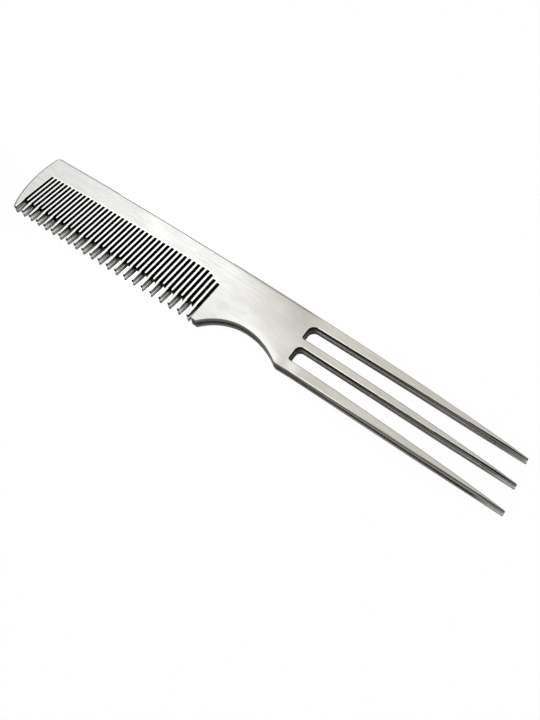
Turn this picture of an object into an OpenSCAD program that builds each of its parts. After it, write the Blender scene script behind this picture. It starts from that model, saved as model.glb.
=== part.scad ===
// Steel hair pick: a flat plate with a teasing comb, a notched grip and three lifting prongs.
// The plate lies flat. X runs from the end guard to the prong tips, Y from the teeth to the back, Z up.
// The origin is under the middle of the plate, on the surface that it rests on.

/* [Plate] */
// Width from the lowest tooth tip to the crown of the back
plate_w = 27.6; // [26.6:0.1:29]
// Thickness of the steel
plate_t = 2.2; // [1.6:0.1:3]

/* [Back edge] */
// Distance from the first slot to the crown of the back
crown_run = 43.6; // [20:0.1:70]
// Radius of the back edge along the comb and the grip
back_r = 2900; // [1500:50:6000]

/* [End guard] */
// Width of the foot of the guard, from the middle of its round tip to the first slot
guard_foot_w = 0.71; // [0.3:0.01:3]
// Radius of the convex end
end_r = 43.4; // [34:0.1:60]
// Distance from the crown of the back down to the nose, the foremost point of the end
nose_drop = 7; // [5:0.1:10]
// Radius of the corner between the end and the back
guard_corner_r = 2; // [0.8:0.1:3]
// Radius of the rounded tip of the guard
guard_tip_r = 0.9; // [0.4:0.1:1.2]

/* [Comb] */
// Number of slots, which leaves a long tooth beside the grip when it is odd
slot_count = 43; // [21:2:47]
// Distance from one slot to the next
slot_pitch = 2.09; // [1.9:0.01:2.6]
// Width of each slot
slot_w = 1.05; // [0.7:0.01:1.3]
// Width of the spine, from the longest slot to the crown of the back
spine_w = 7.75; // [6:0.05:9]
// Radius of the bowed line on which the slots end
slot_line_r = 2400; // [1500:50:6000]
// Distance from the crown of that line to the grip
slot_crown_run = 9.2; // [0:0.1:30]
// How much lower than that line the last slot ends, where the grip begins
last_slot_drop = 2.15; // [0.5:0.05:3]
// How much of that drop each of the last slots takes
last_drop_shares = [0.25, 0.77, 1]; // [0:0.01:1]

/* [Teeth] */
// Rise of the line of tooth tips from the guard to the grip
tip_rise = 2.7; // [0:0.1:4]
// How much shorter the short teeth are
short_step = 4.65; // [3:0.05:8]
// How much narrower a long tooth is at its tip than at its root
long_taper_w = 0.29; // [0:0.01:0.4]
// How much narrower a short tooth is at its tip than at its root
short_taper_w = 0.14; // [0:0.01:0.4]
// Length over which a tooth narrows to its tip
tip_taper_len = 4.4; // [2:0.1:6]
// Thickness of a long tooth at its tip
tooth_tip_t = 1.4; // [1:0.05:1.6]
// Length over which a long tooth is ground thin
tooth_grind_len = 4.5; // [2:0.1:8]

/* [Grip] */
// Length of the grip, from the last slot to the roots of the prongs
grip_len = 34.32; // [26:0.02:60]
// Height of the shoulder beside the last slot above the tooth tips
shoulder_rise = 2.7; // [1.5:0.1:4]
// Width of the flat under the shoulder
shoulder_w = 2.3; // [1:0.1:4]
// Distance from the end of the finger notch to the roots of the prongs
notch_end_land = 2.92; // [2:0.01:8]
// Place of the crown of the finger notch between the shoulder and the end of the notch
notch_crown_share = 0.533; // [0.4:0.001:0.65]
// Height of the crown of the finger notch above the tooth tips
notch_crown_rise = 9.9; // [8:0.1:12]
// Height of the lower edge of the grip above the tooth tips
lower_edge_rise = 5.9; // [5:0.1:6.5]
// Radius between the finger notch and the lower edge
notch_end_r = 3; // [1:0.1:5]

/* [Prongs] */
// Length of the prongs, from the roots to the tips
prong_len = 70.4; // [50:0.1:90]
// Width of the lower prong at its root
lower_prong_w = 3.3; // [2.6:0.05:4.5]
// Width of the middle prong at its root
middle_prong_w = 2.75; // [2.2:0.05:4]
// Width of the upper prong at its root
upper_prong_w = 3.63; // [2.6:0.01:4.5]
// Radius of the outer edge of each prong
prong_edge_r = 1250; // [800:50:4000]
// Radius of the inner edge of the upper prong, which bows towards the middle one
inner_edge_r = 3100; // [2000:50:6000]
// Height of the middle of the lower tip above the tooth tips
lower_tip_rise = 6.95; // [6.4:0.05:7.4]
// Distance from the crown of the back down to the middle of the upper tip
upper_tip_drop = 4.95; // [4:0.05:7]
// Width of a prong at its tip
prong_tip_w = 0.6; // [0.4:0.05:1]
// Thickness of a prong at its tip
prong_tip_t = 1.3; // [0.9:0.05:1.6]
// Length over which a prong is ground thin
prong_grind_len = 14; // [6:0.5:30]
// Radius of the arch at the back of each gap
root_arch_r = 2.3; // [1:0.1:3]
// Radius of the corner at the front of each gap
root_corner_r = 0.7; // [0.3:0.1:1.5]

/* [Hidden] */

// How far a cut runs past the faces that it cuts
overrun = 1;
// Straight steps in a long edge and in a small round
edge_steps = 30;
round_steps = 12;

// Places along the plate, from the nose of the guard
tooth_w = slot_pitch - slot_w;
guard_tip_rise = plate_w - nose_drop - guard_tip_r;
guard_tip_x = end_r - sqrt(pow(end_r - guard_tip_r, 2) - guard_tip_rise * guard_tip_rise);
guard_len = guard_tip_x + guard_foot_w;
grip_x = guard_len + (slot_count - 1) * slot_pitch + slot_w;
root_x = grip_x + grip_len;
prong_x = root_x + max(root_arch_r, root_corner_r);
total_len = root_x + prong_len;

// Centres of the back edge and of the convex end
back_centre = [guard_len + crown_run, plate_w - back_r];
end_centre = [end_r, plate_w - nose_drop];

// Edges of the prongs at their roots, from the lower one up, with two equal gaps
prong_gap = (back_y(prong_x) - lower_edge_rise - lower_prong_w - middle_prong_w - upper_prong_w) / 2;
lower_prong_top = lower_edge_rise + lower_prong_w;
middle_prong_low = lower_prong_top + prong_gap;
middle_prong_top = middle_prong_low + middle_prong_w;
upper_prong_low = middle_prong_top + prong_gap;

// Centres of the finger notch's two arcs, which meet at its crown
shoulder_end = [grip_x + shoulder_w, shoulder_rise];
notch_end_x = root_x - notch_end_land;
notch_x = shoulder_end[0] + notch_crown_share * (notch_end_x - shoulder_end[0]);
notch_near_r = radius_below_crown(notch_x - shoulder_end[0], notch_crown_rise - shoulder_rise);
notch_far_r = radius_below_crown(notch_end_x - notch_x, notch_crown_rise - lower_edge_rise);
notch_near_centre = [notch_x, notch_crown_rise - notch_near_r];
notch_far_centre = [notch_x, notch_crown_rise - notch_far_r];

// Radius of an arc that falls by drop at a distance run from its crown
function radius_below_crown(run, drop) = (run * run + drop * drop) / (2 * drop);

// Direction from one point to another, from 0 to 360 degrees
function heading(from, to) = (atan2(to[1] - from[1], to[0] - from[0]) + 360) % 360;

// Points on an arc, from one direction to another
function arc(centre, r, a0, a1, steps) =
    [for (k = [0:steps]) let (a = a0 + (a1 - a0) * k / steps) centre + r * [cos(a), sin(a)]];

// Points on an arc that bows upwards between a left and a right point
function bow(left, right, r, steps) =
    let (chord = right - left,
         span = norm(chord),
         centre = (left + right) / 2 + [chord[1], -chord[0]] / span * sqrt(r * r - span * span / 4))
    arc(centre, r, heading(centre, left), heading(centre, right), steps);

// Upper meeting point of two circles, the first with its centre to the left
function meeting(c0, r0, c1, r1) =
    let (d = c1 - c0,
         gap = norm(d),
         along = (r0 * r0 - r1 * r1 + gap * gap) / (2 * gap),
         across = sqrt(r0 * r0 - along * along))
    c0 + d / gap * along + [-d[1], d[0]] / gap * across;

// Height of the back edge at a place along the plate
function back_y(x) = back_centre[1] + sqrt(back_r * back_r - pow(x - back_centre[0], 2));

// Points along the back edge between two places
function back_points(x0, x1) =
    [for (k = [0:edge_steps]) let (x = x0 + (x1 - x0) * k / edge_steps) [x, back_y(x)]];

// Left side of a slot, counted from the guard
function slot_x(i) = guard_len + i * slot_pitch;

// Share of the last drop that a slot takes
function drop_share(i) =
    let (from_end = slot_count - 1 - i, listed = len(last_drop_shares))
    from_end < listed ? last_drop_shares[listed - 1 - from_end] : 0;

// Height at which a slot ends
function slot_top(i) =
    plate_w - spine_w
    - pow(slot_x(i) - (grip_x - slot_crown_run), 2) / (2 * slot_line_r)
    - last_slot_drop * drop_share(i);

// Height of the root of a tooth, the lower end of the slots on its two sides
function root_y(i) = min(slot_top(i), slot_top(i + 1));

// Place where the lower edge of the spine steps from the end of a slot to the end of the next
function step_x(i) =
    i < 0 ? guard_len
    : i > slot_count - 2 ? grip_x
    : slot_top(i + 1) > slot_top(i) ? slot_x(i + 1)
    : slot_x(i) + slot_w;

// Height of the long tips at a place along the comb
function tip_y(x) = tip_rise * (x - guard_len) / (grip_x - guard_len);

// Places the plate's drawing over the origin
module centred() {
    translate([-total_len / 2, -plate_w / 2, 0]) children();
}

// Plan of the tooth on the right of a slot, with a round tip
module tooth_plan(i, tip, tip_w) {
    left = slot_x(i) + slot_w;
    mid = left + tooth_w / 2;
    bend = min(tip + tip_taper_len, root_y(i));
    polygon(concat(
        [[left, root_y(i)], [left, bend]],
        arc([mid, tip + tip_w / 2], tip_w / 2, 180, 360, round_steps),
        [[left + tooth_w, bend], [left + tooth_w, root_y(i)]]));
}

// A long tooth: both faces are ground towards the tip
module long_tooth(i) {
    left = slot_x(i) + slot_w;
    tip = tip_y(left);
    face_cut = (plate_t - tooth_tip_t) / 2;
    intersection() {
        linear_extrude(plate_t) tooth_plan(i, tip, tooth_w - long_taper_w);
        translate([left - overrun, 0, 0]) rotate([90, 0, 90])
            linear_extrude(tooth_w + 2 * overrun)
                polygon([[tip, face_cut], [tip + tooth_grind_len, 0],
                         [root_y(i), 0], [root_y(i), plate_t],
                         [tip + tooth_grind_len, plate_t], [tip, plate_t - face_cut]]);
    }
}

// A short tooth, left at full thickness
module short_tooth(i) {
    linear_extrude(plate_t)
        tooth_plan(i, tip_y(slot_x(i) + slot_w) + short_step, tooth_w - short_taper_w);
}

// The round back of one gap between prongs, open towards the tips
module gap_root(low) {
    high = low + prong_gap;
    polygon(concat(
        arc([root_x + root_corner_r, low + root_corner_r], root_corner_r, 270, 180, round_steps),
        arc([root_x + root_arch_r, high - root_arch_r], root_arch_r, 180, 90, round_steps),
        [[prong_x + overrun, high], [prong_x + overrun, low]]));
}

// A prong: its plan tapers to a round tip, and both faces are ground towards it
module prong(root_low, root_top, tip_mid, inner_edge) {
    tip_r = prong_tip_w / 2;
    tip_centre = [total_len - tip_r, tip_mid];
    outer_edge = bow([prong_x, root_top], tip_centre + [0, tip_r], prong_edge_r, edge_steps);
    face_cut = (plate_t - prong_tip_t) / 2;
    grind_x = total_len - prong_grind_len;
    intersection() {
        linear_extrude(plate_t)
            polygon(concat(outer_edge, arc(tip_centre, tip_r, 90, -90, round_steps), inner_edge,
                           [[prong_x, root_low]]));
        translate([0, plate_w, 0]) rotate([90, 0, 0])
            linear_extrude(plate_w)
                polygon([[prong_x, 0], [grind_x, 0], [total_len, face_cut],
                         [total_len, plate_t - face_cut], [grind_x, plate_t], [prong_x, plate_t]]);
    }
}

module end_guard() {
    corner_centre = meeting(back_centre, back_r - guard_corner_r, end_centre, end_r - guard_corner_r);
    tip_centre = [guard_tip_x, guard_tip_r];
    end_low = heading(end_centre, tip_centre);
    end_high = heading(end_centre, corner_centre);
    corner_high = heading(back_centre, corner_centre);
    corner_x = corner_centre[0] + guard_corner_r * cos(corner_high);
    color([0.84, 0.84, 0.82]) centred() linear_extrude(plate_t)
        polygon(concat(
            [[guard_len, 0]],
            arc(tip_centre, guard_tip_r, 270, end_low, round_steps),
            arc(end_centre, end_r, end_low, 180, edge_steps),
            arc(end_centre, end_r, 180, end_high, round_steps),
            arc(corner_centre, guard_corner_r, end_high, corner_high, round_steps),
            back_points(corner_x, guard_len)));
}

module spine() {
    slot_ends = [for (i = [slot_count - 1:-1:0], side = [0, 1]) [step_x(i - side), slot_top(i)]];
    color([0.80, 0.80, 0.78]) centred() linear_extrude(plate_t)
        polygon(concat(slot_ends, back_points(guard_len, grip_x)));
}

module long_teeth() {
    color([0.74, 0.74, 0.72]) centred() for (i = [1:2:slot_count - 2]) long_tooth(i);
}

module short_teeth() {
    color([0.66, 0.66, 0.64]) centred() for (i = [0:2:slot_count - 2]) short_tooth(i);
}

module handle() {
    round_rise = lower_edge_rise + notch_end_r - notch_far_centre[1];
    round_run = sqrt(pow(notch_far_r + notch_end_r, 2) - round_rise * round_rise);
    round_centre = notch_far_centre + [round_run, round_rise];
    notch_end = heading(notch_far_centre, round_centre);
    color([0.78, 0.77, 0.74]) centred() linear_extrude(plate_t) difference() {
        polygon(concat(
            [[grip_x, shoulder_rise]],
            arc(notch_near_centre, notch_near_r, heading(notch_near_centre, shoulder_end), 90, edge_steps),
            arc(notch_far_centre, notch_far_r, 90, notch_end, edge_steps),
            arc(round_centre, notch_end_r, notch_end + 180, 270, round_steps),
            [[prong_x, lower_edge_rise]],
            back_points(prong_x, grip_x)));
        gap_root(lower_prong_top);
        gap_root(middle_prong_top);
    }
}

module upper_prong() {
    tip_mid = plate_w - upper_tip_drop;
    tip_low = [total_len - prong_tip_w / 2, tip_mid - prong_tip_w / 2];
    inner_bow = bow([prong_x, upper_prong_low], tip_low, inner_edge_r, edge_steps);
    color([0.73, 0.72, 0.69]) centred()
        prong(upper_prong_low, back_y(prong_x), tip_mid,
              [for (k = [1:edge_steps - 1]) inner_bow[edge_steps - k]]);
}

module middle_prong() {
    color([0.70, 0.69, 0.66]) centred()
        prong(middle_prong_low, middle_prong_top, (lower_tip_rise + plate_w - upper_tip_drop) / 2, []);
}

module lower_prong() {
    color([0.73, 0.72, 0.69]) centred()
        prong(lower_edge_rise, lower_prong_top, lower_tip_rise, []);
}

end_guard();
spine();
long_teeth();
short_teeth();
handle();
upper_prong();
middle_prong();
lower_prong();
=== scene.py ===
import bpy
import bmesh
import math
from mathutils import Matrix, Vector


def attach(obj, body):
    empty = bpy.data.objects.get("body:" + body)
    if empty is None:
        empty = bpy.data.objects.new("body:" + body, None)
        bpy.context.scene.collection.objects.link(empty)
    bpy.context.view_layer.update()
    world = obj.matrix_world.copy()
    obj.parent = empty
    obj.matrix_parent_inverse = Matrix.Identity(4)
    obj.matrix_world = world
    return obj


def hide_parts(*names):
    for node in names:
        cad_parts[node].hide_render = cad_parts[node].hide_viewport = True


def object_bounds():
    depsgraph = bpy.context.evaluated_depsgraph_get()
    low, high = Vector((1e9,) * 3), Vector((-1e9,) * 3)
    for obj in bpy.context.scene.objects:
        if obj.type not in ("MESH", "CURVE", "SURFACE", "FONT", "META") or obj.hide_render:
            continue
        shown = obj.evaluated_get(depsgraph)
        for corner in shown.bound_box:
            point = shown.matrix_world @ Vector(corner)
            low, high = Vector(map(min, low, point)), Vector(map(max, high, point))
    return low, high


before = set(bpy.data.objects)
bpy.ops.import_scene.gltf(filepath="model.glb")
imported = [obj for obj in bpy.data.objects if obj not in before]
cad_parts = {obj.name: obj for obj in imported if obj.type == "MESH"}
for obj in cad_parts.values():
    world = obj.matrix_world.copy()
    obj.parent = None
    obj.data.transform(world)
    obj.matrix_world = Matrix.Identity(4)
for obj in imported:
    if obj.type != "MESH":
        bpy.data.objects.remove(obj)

low_corner, high_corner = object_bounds()


# The camera stands at the photograph's place, above the prongs, and looks along the pick to
# the guard. The frame is the photograph's, 540 by 720, and the lens is shifted because the
# photograph is a cut from the lower part of a wider picture.
camera = bpy.data.objects.new("camera", bpy.data.cameras.new("camera"))
bpy.context.collection.objects.link(camera)
camera.location = (0.09607, -0.08026, 0.19384)
camera.rotation_euler = [math.radians(angle) for angle in (46.505, 3.957, 36.739)]
camera.data.lens = 33.31
camera.data.shift_y = -0.3194
camera.data.clip_start = 0.01
bpy.context.scene.camera = camera
bpy.context.scene.view_settings.view_transform = "Standard"


# The pick lies in a white tent on a sheet of glossy white plastic, which mirrors its edges
# and keeps a faint soft shadow. A small soft lamp hangs behind the guard.
tent = bpy.data.worlds.new("white tent")
tent.use_nodes = True
tent_cloth = tent.node_tree.nodes["Background"]
tent_cloth.inputs["Color"].default_value = (1, 1, 1, 1)
tent_cloth.inputs["Strength"].default_value = 1
bpy.context.scene.world = tent

glossy_plastic = bpy.data.materials.new("glossy white plastic")
glossy_plastic.use_nodes = True
nodes, links = glossy_plastic.node_tree.nodes, glossy_plastic.node_tree.links
body = nodes["Principled BSDF"]
body.inputs["Base Color"].default_value = (0.93, 0.93, 0.93, 1)
body.inputs["Roughness"].default_value = 0.6
mirror = nodes.new("ShaderNodeBsdfAnisotropic")
mirror.inputs["Color"].default_value = (1, 1, 1, 1)
mirror.inputs["Roughness"].default_value = 0.04
haze = nodes.new("ShaderNodeBsdfAnisotropic")
haze.inputs["Color"].default_value = (1, 1, 1, 1)
haze.inputs["Roughness"].default_value = 0.45
gloss = nodes.new("ShaderNodeMixShader")
gloss.inputs["Fac"].default_value = 0.07
links.new(mirror.outputs[0], gloss.inputs[1])
links.new(haze.outputs[0], gloss.inputs[2])
skin = nodes.new("ShaderNodeMixShader")
skin.inputs["Fac"].default_value = 0.99
links.new(body.outputs[0], skin.inputs[1])
links.new(gloss.outputs[0], skin.inputs[2])
links.new(skin.outputs[0], nodes["Material Output"].inputs["Surface"])

FLOOR_REACH = 6
bm = bmesh.new()
bmesh.ops.create_grid(bm, x_segments=1, y_segments=1, size=FLOOR_REACH)
mesh = bpy.data.meshes.new("floor")
bm.to_mesh(mesh)
bm.free()
floor = bpy.data.objects.new("floor", mesh)
floor.data.materials.append(glossy_plastic)
bpy.context.collection.objects.link(floor)

lamp_light = bpy.data.lights.new("lamp behind the guard", "AREA")
lamp_light.size = 0.15
lamp_light.energy = 0.12
lamp = bpy.data.objects.new("lamp behind the guard", lamp_light)
lamp.location = (-0.40, 0.263, 0.54)
lamp.rotation_euler = (-lamp.location).to_track_quat("-Z", "Y").to_euler()
bpy.context.collection.objects.link(lamp)


# The end guard is the plain broad end of the comb, cut with the rest from one sheet of
# stainless steel. Its end is a long curve with a round foot, ground thin with the tooth tips.
# Its faces are brushed lengthwise, its rims tumbled round, and its cut edge is finely scored.
THICK, WIDTH = 2.2, 27.6
PITCH, SLOT, SLOT_CORNER, SLOTS = 2.09, 1.05, 0.24, 43
BACK_RADIUS, BACK_CROWN = 2900, 43.6
END_RADIUS, NOSE_HEIGHT = 43.4, 20.6
GUARD_FOOT, GUARD_TIP_RADIUS, GUARD_INNER_ROUND, GUARD_CORNER_RADIUS = 0.71, 0.9, 0.3, 2
TIP_REACH = math.sqrt((END_RADIUS - GUARD_TIP_RADIUS) ** 2 - (NOSE_HEIGHT - GUARD_TIP_RADIUS) ** 2)
FIRST_SLOT = END_RADIUS - TIP_REACH + GUARD_FOOT
GRIP = FIRST_SLOT + (SLOTS - 1) * PITCH + SLOT
BACK_CENTRE = (FIRST_SLOT + BACK_CROWN, WIDTH - BACK_RADIUS)
SLOT_TOP, SLOT_TOP_RADIUS, SLOT_TOP_CROWN = 19.85, 2400, GRIP - 9.2
LOWER_SLOTS = {40: 0.54, 41: 1.66, 42: 2.15}
TIP_LINE_RISE, GROUND_LENGTH, GROUND_DEPTH = 2.7, 4.5, 0.4
RIM, RIM_STEPS = 0.23, 4
BOTH_FACES = ((THICK, 1), (0, -1))


def place(x, y, height=0):
    """A place on the sheet, in millimetres from the nose, the tooth tips and the underside."""
    return Vector((low_corner.x + x / 1000, low_corner.y + y / 1000, height / 1000))


def back_height(x):
    """Height of the back edge at a place along the pick."""
    return BACK_CENTRE[1] + math.sqrt(BACK_RADIUS ** 2 - (x - BACK_CENTRE[0]) ** 2)


def slot_end(number):
    """Height at which a slot ends. The last three end lower, where the grip widens."""
    from_crown = FIRST_SLOT + number * PITCH - SLOT_TOP_CROWN
    return SLOT_TOP - from_crown ** 2 / (2 * SLOT_TOP_RADIUS) - LOWER_SLOTS.get(number, 0)


def start(x, y):
    """Opens a new outline with its first point."""
    bm = bmesh.new()
    return bm, bmesh.ops.create_vert(bm, co=place(x, y))["vert"][0]


def straight(bm, end, x, y, joint=False):
    """Draws a straight edge. A joint is a line where this piece runs on into its neighbour."""
    made = bmesh.ops.extrude_vert_indiv(bm, verts=[end])
    made["edges"][0].seam = joint
    made["verts"][0].co = place(x, y)
    return made["verts"][0]


def curve(bm, end, x, y, turn, steps):
    """Draws an arc round a centre, anticlockwise for a turn above zero."""
    made = bmesh.ops.spin(bm, geom=[end], cent=place(x, y), axis=(0, 0, 1),
                          angle=math.radians(turn), steps=steps)
    return [part for part in made["geom_last"] if isinstance(part, bmesh.types.BMVert)][0]


def bow(bm, end, x, y, radius, steps):
    """Draws an arc of a radius to a place. It turns anticlockwise, or clockwise below zero."""
    from_x, from_y = (end.co.x - low_corner.x) * 1000, (end.co.y - low_corner.y) * 1000
    run, rise = x - from_x, y - from_y
    chord = math.hypot(run, rise)
    away = math.copysign(math.sqrt(radius ** 2 - chord ** 2 / 4), radius) / chord
    turn = math.copysign(2 * math.degrees(math.asin(chord / 2 / abs(radius))), radius)
    centre_x, centre_y = (from_x + x) / 2 - rise * away, (from_y + y) / 2 + run * away
    return curve(bm, end, centre_x, centre_y, turn, steps)


def raise_sheet(bm):
    """Gives all that is drawn the thickness of the sheet."""
    made = bmesh.ops.extrude_face_region(bm, geom=bm.faces[:])
    raised = [part for part in made["geom"] if isinstance(part, bmesh.types.BMVert)]
    bmesh.ops.translate(bm, verts=raised, vec=(0, 0, THICK / 1000))
    bmesh.ops.recalc_face_normals(bm, faces=bm.faces[:])


def close(bm, first, end):
    """Closes the outline with a joint, fills it and raises it to the thickness of the sheet."""
    made = bmesh.ops.contextual_create(bm, geom=[end, first])
    made["edges"][0].seam = True
    bmesh.ops.contextual_create(bm, geom=bm.edges[:])
    raise_sheet(bm)


def grind(bm, point, normal):
    """Grinds away what lies outside a plane and leaves a flat there."""
    bmesh.ops.bisect_plane(bm, geom=bm.verts[:] + bm.edges[:] + bm.faces[:], dist=1e-8,
                           plane_co=point, plane_no=normal, clear_outer=True)
    open_edges = [edge for edge in bm.edges if edge.is_boundary]
    bmesh.ops.holes_fill(bm, edges=open_edges, sides=0)
    bmesh.ops.recalc_face_normals(bm, faces=bm.faces[:])


def grind_comb(bm):
    """Grinds both faces of the comb away towards the line of the tips."""
    tip_line = Vector((GRIP - FIRST_SLOT, TIP_LINE_RISE, 0))
    for height, way in BOTH_FACES:
        down = Vector((0, GROUND_LENGTH, GROUND_DEPTH * way))
        grind(bm, place(FIRST_SLOT, GROUND_LENGTH, height), tip_line.cross(down) * way)


class Finish:
    """A finish of the steel. It reads places on the piece in metres, from the pick's middle."""

    def __init__(self, name, colour, roughness):
        self.material = bpy.data.materials.new(name)
        self.material.use_nodes = True
        self.nodes = self.material.node_tree.nodes
        self.links = self.material.node_tree.links
        self.shader = self.nodes["Principled BSDF"]
        self.shader.inputs["Base Color"].default_value = (*colour, 1)
        self.shader.inputs["Metallic"].default_value = 1
        self.shader.inputs["Roughness"].default_value = roughness
        self.where = self.nodes.new("ShaderNodeTexCoord").outputs["Object"]
        sides = self.nodes.new("ShaderNodeSeparateXYZ")
        self.links.new(self.where, sides.inputs[0])
        self.along, self.across, self.up = sides.outputs

    def grain(self, scale, detail, turn=0):
        """A noise over the sheet, with a count of grains per metre along each side."""
        stretch = self.nodes.new("ShaderNodeMapping")
        stretch.inputs["Rotation"].default_value = (0, 0, math.radians(turn))
        stretch.inputs["Scale"].default_value = scale
        noise = self.nodes.new("ShaderNodeTexNoise")
        noise.inputs["Scale"].default_value = 1
        noise.inputs["Detail"].default_value = detail
        noise.inputs["Roughness"].default_value = 0.6
        self.links.new(self.where, stretch.inputs["Vector"])
        self.links.new(stretch.outputs[0], noise.inputs["Vector"])
        return noise.outputs["Fac"]

    def work(self, operation, one, other):
        """One sum with two values, the second of which may be a plain number."""
        sum_node = self.nodes.new("ShaderNodeMath")
        sum_node.operation = operation
        self.links.new(one, sum_node.inputs[0])
        if isinstance(other, (int, float)):
            sum_node.inputs[1].default_value = other
        else:
            self.links.new(other, sum_node.inputs[1])
        return sum_node.outputs[0]

    def lean(self, slope):
        """The height across the pick, counted from a line that leans along it."""
        return self.work("ADD", self.across, self.work("MULTIPLY", self.along, slope))

    def distance(self, point):
        """How far away a point is."""
        reach = self.nodes.new("ShaderNodeVectorMath")
        reach.operation = "DISTANCE"
        reach.inputs[1].default_value = point
        self.links.new(self.where, reach.inputs[0])
        return reach.outputs["Value"]

    def spread(self, value, from_low, from_high, to_low, to_high):
        """Carries a range of values over to another range."""
        carry = self.nodes.new("ShaderNodeMapRange")
        for socket, number in zip(("From Min", "From Max", "To Min", "To Max"),
                                  (from_low, from_high, to_low, to_high)):
            carry.inputs[socket].default_value = number
        self.links.new(value, carry.inputs["Value"])
        return carry.outputs[0]

    def fade(self, value, none_at, full_at, strength=1):
        """A strength that grows from none at one value to full at another."""
        return self.spread(value, none_at, full_at, 0, strength)

    def overlap(self, strength, *others):
        """The strength where several strengths come together."""
        for other in others:
            strength = self.work("MULTIPLY", strength, other)
        return strength

    def ramp(self, value, *steps):
        """Turns a value from 0 to 1 into a colour, by greys or colours set on the way."""
        ramp = self.nodes.new("ShaderNodeValToRGB")
        marks = ramp.color_ramp.elements
        while len(marks) < len(steps):
            marks.new(0.5)
        for mark, (place_on_way, colour) in zip(marks, steps):
            if not isinstance(colour, tuple):
                colour = (colour, colour * 0.98, colour * 0.92)
            mark.position = place_on_way
            mark.color = (*colour, 1)
        self.links.new(value, ramp.inputs["Fac"])
        return ramp.outputs["Color"]

    def mix(self, under, over, strength):
        """Lays one colour over another. Each is a plain colour or one made before."""
        mix = self.nodes.new("ShaderNodeMix")
        mix.data_type = "RGBA"
        self.links.new(strength, mix.inputs["Factor"])
        for socket, colour in ((mix.inputs[6], under), (mix.inputs[7], over)):
            if isinstance(colour, tuple):
                socket.default_value = (*colour, 1)
            else:
                self.links.new(colour, socket)
        return mix.outputs[2]

    def paint(self, colour, strength):
        """Lays a colour over the tone that the finish has so far."""
        self.tone = self.mix(self.tone, colour, strength)

    def polish(self, grain, smooth, rough):
        """Sets the tone and lets a grain make it smoother or rougher from place to place."""
        self.links.new(self.tone, self.shader.inputs["Base Color"])
        self.links.new(self.spread(grain, 0.3, 0.7, smooth, rough), self.shader.inputs["Roughness"])

    def emboss(self, grain, depth):
        """Raises a grain by a depth in millimetres."""
        relief = self.nodes.new("ShaderNodeBump")
        relief.inputs["Strength"].default_value = 1
        relief.inputs["Distance"].default_value = depth / 1000
        self.links.new(grain, relief.inputs["Height"])
        self.links.new(relief.outputs[0], self.shader.inputs["Normal"])


# The lines that finishes follow: the slope of the tooth tips, that of the paler tone on the
# teeth, and the lean of the tones and painted sheen on the faces. The pairs are places in
# metres, between which a finish fades in from the grip into the comb, from the spine into the
# slots, and at the tips of the prongs.
TIP_SLOPE, PALER_TEETH_SLOPE, TONE_AND_SHEEN_LEAN = -0.0304, 0.35, 0.9
INTO_COMB, INTO_SLOTS, TO_PRONG_TIPS = (-0.0046, -0.0050), (0.0072, 0.0068), (0.091, 0.097)

# Brushed faces: fine lengthwise lines, soft clouds and short scratches across the comb. Their
# tones lean along the pick with a painted sheen and painted shade, and grow warmer towards the
# prongs; a painted sheen lies on the lower side of the handle and along the notch, and painted
# shade along the back of the handle. The teeth and the root of the lower prong are paler. A
# line of painted shade shows beside the rims of the back and the end, and a dark line round the
# tips of the teeth.
FACE_TONES_AND_SHEEN = (
    (0.05, (0.71, 0.712, 0.705)), (0.23, (0.66, 0.662, 0.655)), (0.31, (0.61, 0.612, 0.605)),
    (0.36, (0.71, 0.712, 0.705)), (0.40, (0.65, 0.652, 0.645)), (0.45, (0.69, 0.691, 0.682)),
    (0.51, (0.78, 0.777, 0.765)), (0.55, (0.77, 0.763, 0.745)), (0.58, (0.70, 0.688, 0.648)),
    (0.625, (0.65, 0.635, 0.588)), (0.66, (0.58, 0.558, 0.505)), (0.71, (0.62, 0.603, 0.540)),
    (0.80, (0.565, 0.545, 0.485)), (0.89, (0.535, 0.515, 0.47)))
LINE_SHADE, LINE_SHINE, CLOUD = (0.46, 0.445, 0.41), (0.86, 0.86, 0.84), (0.52, 0.50, 0.46)
SCRATCH_SHADE, SCRATCH_SHINE = (0.42, 0.41, 0.38), (0.92, 0.92, 0.90)
CROSS_SHADE, BACK_PAINTED_SHADE = (0.40, 0.39, 0.37), (0.30, 0.29, 0.26)
HANDLE_PAINTED_SHEEN, NOTCH_PAINTED_SHEEN = (0.93, 0.93, 0.91), (0.95, 0.95, 0.94)
ROOT_PALER, TOOTH_PALER = (0.92, 0.92, 0.91), (0.93, 0.93, 0.92)
GAP_SHADE, TIP_SHADE = (0.36, 0.335, 0.30), (0.24, 0.235, 0.22)
BACK_EDGE_PAINTED_SHADE, END_EDGE_PAINTED_SHADE, TOOTH_LINE = (0.16, 0.155, 0.145), (0.13, 0.127, 0.118), (0.05, 0.048, 0.045)

brushed = Finish("brushed steel face", (0.68, 0.67, 0.65), 0.34)
along, across = brushed.along, brushed.across
slant = brushed.work("ADD", along, brushed.work("MULTIPLY", across, TONE_AND_SHEEN_LEAN))
lines = brushed.grain((28, 1700, 60), detail=3, turn=1.2)
fine_lines = brushed.grain((120, 5600, 200), detail=2, turn=-0.8)
scratches = brushed.grain((170, 3400, 100), detail=1, turn=-2.5)
cross_scratches = brushed.grain((240, 4200, 100), detail=1, turn=48)
clouds = brushed.grain((90, 260, 60), detail=3)
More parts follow.
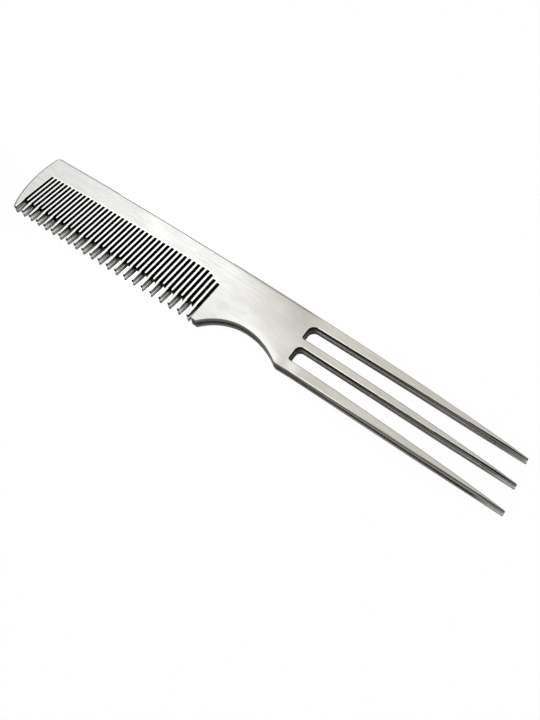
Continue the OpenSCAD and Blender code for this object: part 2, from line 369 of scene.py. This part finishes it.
# The faces' tones along the pick are partly a painted sheen and painted shade.
brushed.tone = brushed.ramp(brushed.fade(slant, -0.11, 0.11), *FACE_TONES_AND_SHEEN)
brushed.paint(LINE_SHADE, brushed.fade(lines, 0.40, 0.72, 0.34))
brushed.paint(LINE_SHINE, brushed.fade(fine_lines, 0.50, 0.75, 0.35))
brushed.paint(SCRATCH_SHADE, brushed.fade(scratches, 0.66, 0.76, 0.45))
brushed.paint(SCRATCH_SHINE, brushed.fade(scratches, 0.34, 0.24, 0.5))
brushed.paint(CLOUD, brushed.fade(clouds, 0.48, 0.72, 0.36))
brushed.paint(CROSS_SHADE, brushed.overlap(
    brushed.fade(along, 0.012, -0.012, 0.42), brushed.fade(cross_scratches, 0.62, 0.72)))
# Painted shade along the back of the handle.
brushed.paint(BACK_PAINTED_SHADE, brushed.overlap(
    brushed.fade(across, 0.0095, 0.0130), brushed.fade(along, -0.006, 0.012, 0.24),
    brushed.fade(along, 0.038, 0.026)))
# Painted sheen on the lower side of the handle.
brushed.paint(HANDLE_PAINTED_SHEEN, brushed.overlap(
    brushed.fade(across, 0.0025, -0.0010, 0.42), brushed.fade(along, 0.002, 0.010),
    brushed.fade(along, 0.031, 0.014)))
notch_centre = (0.0131, -0.0290, THICK / 1000)
# Painted sheen along the notch.
brushed.paint(NOTCH_PAINTED_SHEEN, brushed.overlap(
    brushed.fade(brushed.distance(notch_centre), 0.0278, 0.0256, 0.75),
    brushed.fade(along, 0.0285, 0.0265), brushed.fade(along, 0.008, 0.014)))
lower_root = (0.0325, -0.0060, THICK / 1000)
brushed.paint(ROOT_PALER, brushed.fade(brushed.distance(lower_root), 0.0032, 0.0008, 0.5))
by_upper_gap = (0.0245, 0.0100, THICK / 1000)
brushed.paint(GAP_SHADE, brushed.fade(brushed.distance(by_upper_gap), 0.0070, 0.0020, 0.20))
brushed.paint(TIP_SHADE, brushed.fade(along, 0.091, 0.098, 0.5))
back_edge = BACK_RADIUS / 1000
# Painted shade beside the rim of the back.
brushed.paint(BACK_EDGE_PAINTED_SHADE, brushed.overlap(
    brushed.fade(brushed.distance(place(*BACK_CENTRE)), back_edge - 0.00090, back_edge - 0.00038),
    brushed.spread(along, -0.072, -0.060, 0.58, 0.80),
    brushed.spread(along, -0.012, -0.004, 1, 0.88), brushed.fade(along, 0.032, 0.026)))
end_centre, end_edge = place(END_RADIUS, NOSE_HEIGHT), END_RADIUS / 1000
# Painted shade beside the rim of the end.
brushed.paint(END_EDGE_PAINTED_SHADE, brushed.overlap(
    brushed.fade(brushed.distance(end_centre), end_edge - 0.00068, end_edge - 0.00042),
    brushed.spread(across, 0.003, -0.006, 0.68, 1), brushed.fade(along, -0.090, -0.092)))
slot_top_centre = place(SLOT_TOP_CROWN, SLOT_TOP - SLOT_TOP_RADIUS)
slot_tops = SLOT_TOP_RADIUS / 1000
brushed.paint(TOOTH_PALER, brushed.overlap(
    brushed.fade(brushed.distance(slot_top_centre), slot_tops + 0.0009, slot_tops + 0.0001),
    brushed.fade(brushed.lean(PALER_TEETH_SLOPE), 0.0031, 0.0023), brushed.fade(along, -0.0045, -0.0048),
    brushed.fade(along, -0.0942, -0.0936, 0.8)))
brushed.paint(TOOTH_LINE, brushed.overlap(
    brushed.fade(along, *INTO_COMB), brushed.fade(brushed.lean(TIP_SLOPE), -0.0105, -0.0108, 0.7)))
brushed.polish(fine_lines, 0.28, 0.38)
brushed.emboss(lines, 0.003)

# Tumbled rims: smooth, with small dull spots. The rims on the side that faces the notch carry
# a painted highlight, and those along the back and round the end carry painted shade; all are
# brighter round the slots.
SPOT_SHADE, SLOT_RIM, TOOTH_END = (0.30, 0.29, 0.27), (0.9, 0.9, 0.89), (0.04, 0.039, 0.036)
WORN_RIM, TIP_RIM = (0.37, 0.36, 0.34), (0.20, 0.195, 0.18)


def tumble(name, *tones):
    """A finish for the rounded rims, whose greys, set at places along the pick, paint their light.
    """
    rim = Finish(name, (0.5, 0.49, 0.47), 0.24)
    along, across = rim.along, rim.across
    spots = rim.grain((700, 700, 700), detail=2)
    rim.tone = rim.ramp(rim.fade(along, -0.1, 0.1), *tones)
    rim.paint(SPOT_SHADE, rim.fade(spots, 0.5, 0.75, 0.5))
    rim.paint(SLOT_RIM, rim.overlap(
        rim.fade(along, *INTO_COMB), rim.fade(across, *INTO_SLOTS),
        rim.fade(along, -0.0943, -0.0939)))
    rim.paint(TOOTH_END, rim.overlap(
        rim.fade(along, *INTO_COMB), rim.fade(rim.lean(TIP_SLOPE), -0.0103, -0.0106, 0.9)))
    rim.paint(WORN_RIM, rim.overlap(
        rim.fade(along, 0.048, 0.064), rim.fade(across, -0.0050, -0.0052)))
    rim.paint(TIP_RIM, rim.fade(along, *TO_PRONG_TIPS, 0.8))
    rim.polish(spots, 0.18, 0.30)
    return rim.material


# The greys along the pick are a painted highlight on the rims that face the notch and painted shade
# on the others.
painted_lit_rim = tumble("steel rim painted lit", (0.0, 0.75), (0.4, 0.85), (0.6, 0.95), (0.76, 0.92),
                      (0.82, 0.66), (1.0, 0.6))
painted_shaded_rim = tumble("steel rim painted shaded", (0.0, 0.20), (0.25, 0.15), (0.5, 0.13), (0.56, 0.10),
                  (0.66, 0.22), (1.0, 0.24))

# Scored cut edges, with lines that run round the outline at one height and a few small bright
# nicks. Their dark and their bands by height are painted shade and painted reflection: the
# slots are painted black and lighter towards the tips, the outer edge is darkest at its foot,
# and the edges inside the gaps are darkest above and light along their foot.
STREAK, NICK = (0.16, 0.155, 0.145), (0.5, 0.49, 0.47)

scored = Finish("scored steel edge with painted shade", (0.1, 0.1, 0.095), 0.2)
scored.shader.inputs["Specular Tint"].default_value = (0.5, 0.494, 0.475, 1)
along, across = scored.along, scored.across
bands = scored.grain((30, 30, 1100), detail=1)
streaks = scored.grain((70, 70, 2600), detail=1)
nicks = scored.grain((330, 330, 900), detail=0)
height_share = scored.work("ADD", scored.fade(scored.up, 0, THICK / 1000),
                           scored.spread(bands, 0, 1, -0.10, 0.10))
# Tones by height on each edge, which paint its shade and reflection.
outer_tone = scored.ramp(height_share, (0.0, 0.012), (0.16, 0.02), (0.40, 0.10), (0.8, 0.14),
                         (1.0, 0.20))
back_tone = scored.ramp(height_share, (0.0, 0.03), (0.4, 0.018), (0.8, 0.008), (1.0, 0.008))
root_tone = scored.ramp(height_share, (0.0, 0.24), (0.20, 0.23), (0.36, 0.05), (0.5, 0.010),
                        (1.0, 0.008))
tip_tone = scored.ramp(height_share, (0.0, 0.36), (0.16, 0.34), (0.28, 0.08), (0.46, 0.03),
                       (0.60, 0.26), (0.70, 0.24), (0.82, 0.015), (1.0, 0.012))
low_tone = scored.ramp(height_share, (0.0, 0.015), (0.28, 0.02), (0.42, 0.24), (0.70, 0.28),
                       (0.84, 0.08), (1.0, 0.05))
point_tone = scored.ramp(height_share, (0.0, 0.55), (0.38, 0.45), (0.48, 0.05), (0.58, 0.25),
                         (0.66, 0.20), (0.74, 0.015), (1.0, 0.012))
slot_tone = scored.ramp(height_share, (0.0, 0.012), (1.0, 0.016))
tooth_tone = scored.ramp(height_share, (0.0, 0.34), (0.4, 0.26), (0.68, 0.08), (1.0, 0.04))
end_tone = scored.ramp(height_share, (0.0, 0.22), (0.3, 0.18), (0.48, 0.03), (1.0, 0.02))
over_tips = scored.lean(TIP_SLOPE)
slot_tone = scored.mix(slot_tone, tooth_tone, scored.fade(over_tips, -0.0060, -0.0102))
slot_tone = scored.mix(slot_tone, end_tone, scored.fade(over_tips, -0.0104, -0.0107))
gap_tone = scored.mix(back_tone, root_tone, scored.fade(along, 0.0305, 0.0325))
gap_tone = scored.mix(gap_tone, tip_tone, scored.fade(along, 0.05, 0.085))
low_tone = scored.mix(outer_tone, low_tone, scored.fade(along, 0.036, 0.05))
prong_tone = scored.mix(low_tone, gap_tone, scored.fade(across, -0.0063, -0.0060))
scored.tone = outer_tone
scored.paint(prong_tone, scored.fade(along, 0.0290, 0.0292))
scored.paint(point_tone, scored.fade(along, *TO_PRONG_TIPS, 0.7))
scored.paint(slot_tone, scored.overlap(
    scored.fade(along, -0.0046, -0.0048), scored.fade(across, *INTO_SLOTS),
    scored.fade(along, -0.0941, -0.0939)))
scored.paint(STREAK, scored.fade(streaks, 0.54, 0.8, 0.3))
scored.paint(NICK, scored.fade(nicks, 0.80, 0.84, 0.8))
scored.polish(streaks, 0.14, 0.24)
scored.emboss(bands, 0.004)

# A face is upright, flat or level by how far up its normal points. The walls of the tooth
# tips lean more than others, where the ground faces cut them, so they have a limit of their
# own between the comb's ends. A rim on the lit side faces the notch more than the back and
# gets the painted highlight; the others get the painted shade.
STEEL_FINISHES = (brushed.material, painted_lit_rim, painted_shaded_rim, scored.material)
BRUSHED, LIT_RIM, SHADED_RIM, SCORED = range(4)
UPRIGHT, TIP_UPRIGHT, FLAT, LEVEL = 0.3, 0.45, 0.9, 0.99
LIT_SIDE = 0.35
COMB_ENDS, TIP_BAND = (-0.0941, -0.0048), (-0.0104, -0.0064)
SHARP_ANGLE = 40
JOINT_MARK = 1


def finish_piece(bm, name, node):
    """Rounds the rims on both faces, gives each surface its finish and hands the piece over."""
    bm.normal_update()
    for face in bm.faces:
        at_joint = abs(face.normal.z) < UPRIGHT and any(edge.seam for edge in face.edges)
        face.material_index = JOINT_MARK if at_joint else 0
    rims = []
    for edge in bm.edges:
        slopes = sorted(abs(face.normal.z) for face in edge.link_faces)
        at_joint = any(face.material_index == JOINT_MARK for face in edge.link_faces)
        if not at_joint and slopes[0] < UPRIGHT and slopes[1] > FLAT:
            rims.append(edge)
    bmesh.ops.bevel(bm, geom=rims, offset=RIM / 1000, offset_type="OFFSET", segments=RIM_STEPS,
                    profile=0.5, affect="EDGES", material=-1, clamp_overlap=True)
    bm.normal_update()
    for face in bm.faces:
        slope = abs(face.normal.z)
        middle = face.calc_center_median()
        over_tips = middle.y + middle.x * TIP_SLOPE
        at_tip = COMB_ENDS[0] < middle.x < COMB_ENDS[1] and TIP_BAND[0] < over_tips < TIP_BAND[1]
        at_joint = slope < UPRIGHT and face.material_index == JOINT_MARK
        if slope > LEVEL or at_joint:
            face.material_index = BRUSHED
        elif slope < (TIP_UPRIGHT if at_tip else FLAT):
            face.material_index = SCORED
        else:
            # A rim facing the notch gets the painted highlight, the others the painted shade.
            lit_side = face.normal.x * LIT_SIDE > face.normal.y
            face.material_index = LIT_RIM if lit_side else SHADED_RIM
        face.smooth = slope <= LEVEL
    for edge in bm.edges:
        edge.smooth = edge.calc_face_angle(0) < math.radians(SHARP_ANGLE)
    mesh = bpy.data.meshes.new(name)
    bm.to_mesh(mesh)
    bm.free()
    piece = bpy.data.objects.new(name, mesh)
    bpy.context.collection.objects.link(piece)
    for finish in STEEL_FINISHES:
        piece.data.materials.append(finish)
    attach(piece, "root")
    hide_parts(node)


joint_x = FIRST_SLOT + SLOT / 2
top = slot_end(0)
bm, first = start(joint_x, top)
end = straight(bm, first, FIRST_SLOT + SLOT_CORNER, top)
end = curve(bm, end, FIRST_SLOT + SLOT_CORNER, top - SLOT_CORNER, 90, steps=4)
end = straight(bm, end, FIRST_SLOT, GUARD_INNER_ROUND)
end = curve(bm, end, FIRST_SLOT - GUARD_INNER_ROUND, GUARD_INNER_ROUND, -90, steps=4)
foot_x = END_RADIUS - TIP_REACH
end = straight(bm, end, foot_x, 0)
foot_angle = math.degrees(math.atan2(NOSE_HEIGHT - GUARD_TIP_RADIUS, TIP_REACH))
end = curve(bm, end, foot_x, GUARD_TIP_RADIUS, foot_angle - 90, steps=10)
apart_x = BACK_CENTRE[0] - END_RADIUS
apart_y = BACK_CENTRE[1] - NOSE_HEIGHT
apart = math.hypot(apart_x, apart_y)
corner_reach = END_RADIUS - GUARD_CORNER_RADIUS
back_reach = BACK_RADIUS - GUARD_CORNER_RADIUS
share = (apart ** 2 + corner_reach ** 2 - back_reach ** 2) / (2 * apart * corner_reach)
corner_angle = math.degrees(math.atan2(apart_y, apart_x)) - math.degrees(math.acos(share))
corner_x = END_RADIUS + corner_reach * math.cos(math.radians(corner_angle))
corner_y = NOSE_HEIGHT + corner_reach * math.sin(math.radians(corner_angle))
end_turn = (180 + foot_angle) - (corner_angle % 360)
end = curve(bm, end, END_RADIUS, NOSE_HEIGHT, -end_turn, steps=40)
back_angle = math.degrees(math.atan2(corner_y - BACK_CENTRE[1], corner_x - BACK_CENTRE[0]))
end = curve(bm, end, corner_x, corner_y, back_angle - (corner_angle % 360), steps=10)
end = bow(bm, end, joint_x, back_height(joint_x), -BACK_RADIUS, steps=4)
close(bm, first, end)
grind_comb(bm)
finish_piece(bm, "end_guard_plate", "end_guard")


# The spine is the solid strip of the steel sheet behind the teeth. The slots are milled up
# into it with round corners, and its back is one long, slightly bowed edge. The teeth below
# are the strips that the slots leave, so the spine keeps a short stub of each one.
STUB = 0.35


def tooth_root(number):
    """Height at which the tooth on the right of a slot leaves its stub."""
    return min(slot_end(number), slot_end(number + 1)) - STUB


last_joint_x = GRIP - SLOT / 2
bm, first = start(joint_x, slot_end(0))
end = first
for number in range(SLOTS - 1):
    slot_x = FIRST_SLOT + number * PITCH
    tooth_x, next_x = slot_x + SLOT, slot_x + PITCH
    top, next_top = slot_end(number), slot_end(number + 1)
    end = straight(bm, end, tooth_x - SLOT_CORNER, top)
    end = curve(bm, end, tooth_x - SLOT_CORNER, top - SLOT_CORNER, -90, steps=4)
    end = straight(bm, end, tooth_x, tooth_root(number))
    end = straight(bm, end, next_x, tooth_root(number), joint=True)
    end = straight(bm, end, next_x, next_top - SLOT_CORNER)
    end = curve(bm, end, next_x + SLOT_CORNER, next_top - SLOT_CORNER, -90, steps=4)
end = straight(bm, end, last_joint_x, slot_end(SLOTS - 1))
end = straight(bm, end, last_joint_x, back_height(last_joint_x), joint=True)
end = bow(bm, end, joint_x, back_height(joint_x), BACK_RADIUS, steps=30)
close(bm, first, end)
finish_piece(bm, "spine_plate", "spine")


# The long teeth part the hair. Each is a strip of the sheet that narrows to a round tip, and
# both of its faces are ground away towards the tip, so that it slides under the hair and its
# tip stands off the table.
TOOTH = PITCH - SLOT
NARROWED = 4.4
LONG_TIP_WIDTH = 0.75


def tip_height(number):
    """Height of the line of long tips at the tooth on the right of a slot."""
    return TIP_LINE_RISE * (number * PITCH + SLOT) / (GRIP - FIRST_SLOT)


def add_tooth(bm, number, tip, tip_width):
    """Draws one tooth, from the stub on the spine round its tip and back."""
    left, root = FIRST_SLOT + number * PITCH + SLOT, tooth_root(number)
    middle, narrow = left + TOOTH / 2, tip + NARROWED
    before = set(bm.edges)
    first = bmesh.ops.create_vert(bm, co=place(left, root))["vert"][0]
    end = straight(bm, first, left, narrow)
    end = straight(bm, end, middle - tip_width / 2, tip + tip_width / 2)
    end = curve(bm, end, middle, tip + tip_width / 2, 180, steps=10)
    end = straight(bm, end, left + TOOTH, narrow)
    end = straight(bm, end, left + TOOTH, root)
    made = bmesh.ops.contextual_create(bm, geom=[end, first])
    made["edges"][0].seam = True
    bmesh.ops.contextual_create(bm, geom=[edge for edge in bm.edges if edge not in before])


bm = bmesh.new()
for number in range(1, SLOTS - 1, 2):
    add_tooth(bm, number, tip_height(number), LONG_TIP_WIDTH)
raise_sheet(bm)
grind_comb(bm)
finish_piece(bm, "long_teeth_plate", "long_teeth")


# The short teeth stand between the long ones and end well above their tips, a little unevenly.
# They comb the hair that the long teeth part, and they keep the full thickness of the sheet.
SHORTER, UNEVEN, UNEVEN_STEP = 4.55, 0.16, 1.9
SHORT_TIP_WIDTH = 0.9

bm = bmesh.new()
for number in range(0, SLOTS - 1, 2):
    uneven = UNEVEN * math.sin(number * UNEVEN_STEP)
    add_tooth(bm, number, tip_height(number) + SHORTER + uneven, SHORT_TIP_WIDTH)
raise_sheet(bm)
finish_piece(bm, "short_teeth_plate", "short_teeth")


# The handle is the broad, plain middle of the pick. A finger notch is cut into its lower
# side behind a small shoulder, and its far end holds the round backs of the two gaps
# between the prongs.
ROOT = GRIP + 34.32
PRONG = ROOT + 2.3
LOWER_EDGE = 5.9
LOWER_WIDTH, MIDDLE_WIDTH, UPPER_WIDTH = 3.3, 2.75, 3.63
GAP = (back_height(PRONG) - LOWER_EDGE - LOWER_WIDTH - MIDDLE_WIDTH - UPPER_WIDTH) / 2
LOWER_TOP = LOWER_EDGE + LOWER_WIDTH
MIDDLE_LOW = LOWER_TOP + GAP
MIDDLE_TOP = MIDDLE_LOW + MIDDLE_WIDTH
UPPER_LOW = MIDDLE_TOP + GAP
GAP_CORNER, LOWER_ARCH, UPPER_ARCH = 0.7, 1.85, 2.35
SHOULDER, SHOULDER_END, SHOULDER_ROUND, SHOULDER_STEP = 2.7, GRIP + 2.3, 0.3, 0.2
NOTCH_END, NOTCH_TOP, NOTCH_FOOT, NOTCH_END_ROUND = ROOT - 2.92, 9.9, 5.7, 3
NOTCH_CROWN_SHARE = 0.533
NOTCH_CROWN = SHOULDER_END + NOTCH_CROWN_SHARE * (NOTCH_END - SHOULDER_END)


def notch_radius(run, drop):
    """Radius of an arc that falls by a drop at a distance from its crown."""
    return (run ** 2 + drop ** 2) / (2 * drop)


def gap_back(bm, end, low, arch):
    """Draws the round back of a gap between two prongs, from its lower edge to its upper one."""
    root = PRONG - arch
    end = straight(bm, end, root + GAP_CORNER, low)
    end = curve(bm, end, root + GAP_CORNER, low + GAP_CORNER, -90, steps=8)
    end = straight(bm, end, root, low + GAP - arch)
    return curve(bm, end, PRONG, low + GAP - arch, -90, steps=16)


near = notch_radius(NOTCH_CROWN - SHOULDER_END, NOTCH_TOP - SHOULDER)
far = notch_radius(NOTCH_END - NOTCH_CROWN, NOTCH_TOP - LOWER_EDGE)
round_rise = NOTCH_FOOT + NOTCH_END_ROUND - (NOTCH_TOP - far)
round_run = math.sqrt((far + NOTCH_END_ROUND) ** 2 - round_rise ** 2)
near_turn = math.degrees(math.asin((NOTCH_CROWN - SHOULDER_END) / near))
far_turn = 90 - math.degrees(math.atan2(round_rise, round_run))

bm, first = start(last_joint_x, slot_end(SLOTS - 1))
end = straight(bm, first, GRIP - SLOT_CORNER, slot_end(SLOTS - 1))
end = curve(bm, end, GRIP - SLOT_CORNER, slot_end(SLOTS - 1) - SLOT_CORNER, -90, steps=4)
end = straight(bm, end, GRIP, SHOULDER + SHOULDER_ROUND)
end = curve(bm, end, GRIP + SHOULDER_ROUND, SHOULDER + SHOULDER_ROUND, 90, steps=5)
end = straight(bm, end, SHOULDER_END - SHOULDER_STEP, SHOULDER)
end = straight(bm, end, SHOULDER_END, SHOULDER)
end = curve(bm, end, NOTCH_CROWN, NOTCH_TOP - near, -near_turn, steps=24)
end = curve(bm, end, NOTCH_CROWN, NOTCH_TOP - far, -far_turn, steps=24)
end = curve(bm, end, NOTCH_CROWN + round_run, NOTCH_FOOT + NOTCH_END_ROUND, far_turn, steps=10)
end = straight(bm, end, PRONG, LOWER_EDGE)
end = straight(bm, end, PRONG, LOWER_TOP, joint=True)
end = gap_back(bm, end, LOWER_TOP, LOWER_ARCH)
end = straight(bm, end, PRONG, MIDDLE_TOP, joint=True)
end = gap_back(bm, end, MIDDLE_TOP, UPPER_ARCH)
end = straight(bm, end, PRONG, back_height(PRONG), joint=True)
end = bow(bm, end, last_joint_x, back_height(last_joint_x), BACK_RADIUS, steps=14)
close(bm, first, end)
finish_piece(bm, "handle_plate", "handle")


# The three prongs lift the hair from the root. They are long, straight spikes with a bowed
# upper edge and a shallow bevel along the lower one. They taper to narrow round tips, are
# thinned from below over the last stretch, and have both faces ground away at the tip.
TIP = PRONG + 68.1
TIP_WIDTH = 0.6
UPPER_EDGE_RADIUS = 1250
BEVEL_WIDTH, BEVEL_DEPTH = 0.45, 0.075
THINNED, THINNED_WIDTH, THINNED_DEPTH = 26, 0.3, 0.45
THINNED_LEAN = (0.6, 0.8)
GROUND_STAGES = ((14, 0), (6, 0.12), (0, 0.45))
SHORT_EDGE = 9e-5


def make_prong(name, node, low, top, tip, inner_radius=None):
    """Makes a prong from its two edges at the root and the height of its tip."""
    half = TIP_WIDTH / 2
    bm, first = start(PRONG, low)
    if inner_radius:
        end = bow(bm, first, TIP - half, tip - half, -inner_radius, steps=12)
    else:
        end = straight(bm, first, TIP - half, tip - half)
    end = curve(bm, end, TIP - half, tip, 180, steps=6)
    end = bow(bm, end, PRONG, top, UPPER_EDGE_RADIUS, steps=30)
    close(bm, first, end)
    edge_rise = tip - half - low
    for height, way in BOTH_FACES:
        bevel = Vector((0, BEVEL_WIDTH, BEVEL_DEPTH * way))
        edge_run = Vector((TIP - PRONG, edge_rise, 0))
        grind(bm, place(PRONG, low + BEVEL_WIDTH, height), edge_run.cross(bevel) * way)
    rise = edge_rise * THINNED / (TIP - PRONG)
    for height, way in BOTH_FACES:
        lean = Vector((0, -THINNED_LEAN[0], -THINNED_LEAN[1] * way))
        run = Vector((THINNED, rise + THINNED_WIDTH, -THINNED_DEPTH * way))
        grind(bm, place(TIP - THINNED, tip - half - rise, height), lean.cross(run) * way)
    for (from_tip, shallow), (to_tip, deep) in zip(GROUND_STAGES, GROUND_STAGES[1:]):
        for height, way in ((THICK - shallow, 1), (shallow, -1)):
            fall = Vector((from_tip - to_tip, 0, (shallow - deep) * way))
            grind(bm, place(TIP - from_tip, 0, height), Vector((0, way, 0)).cross(fall) * -1)
    bmesh.ops.dissolve_degenerate(bm, dist=SHORT_EDGE, edges=bm.edges[:])
    bmesh.ops.recalc_face_normals(bm, faces=bm.faces[:])
    if bm.calc_volume(signed=True) < 0:
        bmesh.ops.reverse_faces(bm, faces=bm.faces[:])
    finish_piece(bm, name, node)


make_prong("lower_prong_plate", "lower_prong", LOWER_EDGE, LOWER_TOP, tip=6.95)
make_prong("middle_prong_plate", "middle_prong", MIDDLE_LOW, MIDDLE_TOP, tip=14.8)
make_prong("upper_prong_plate", "upper_prong", UPPER_LOW, back_height(PRONG), tip=22.65,
           inner_radius=3100)
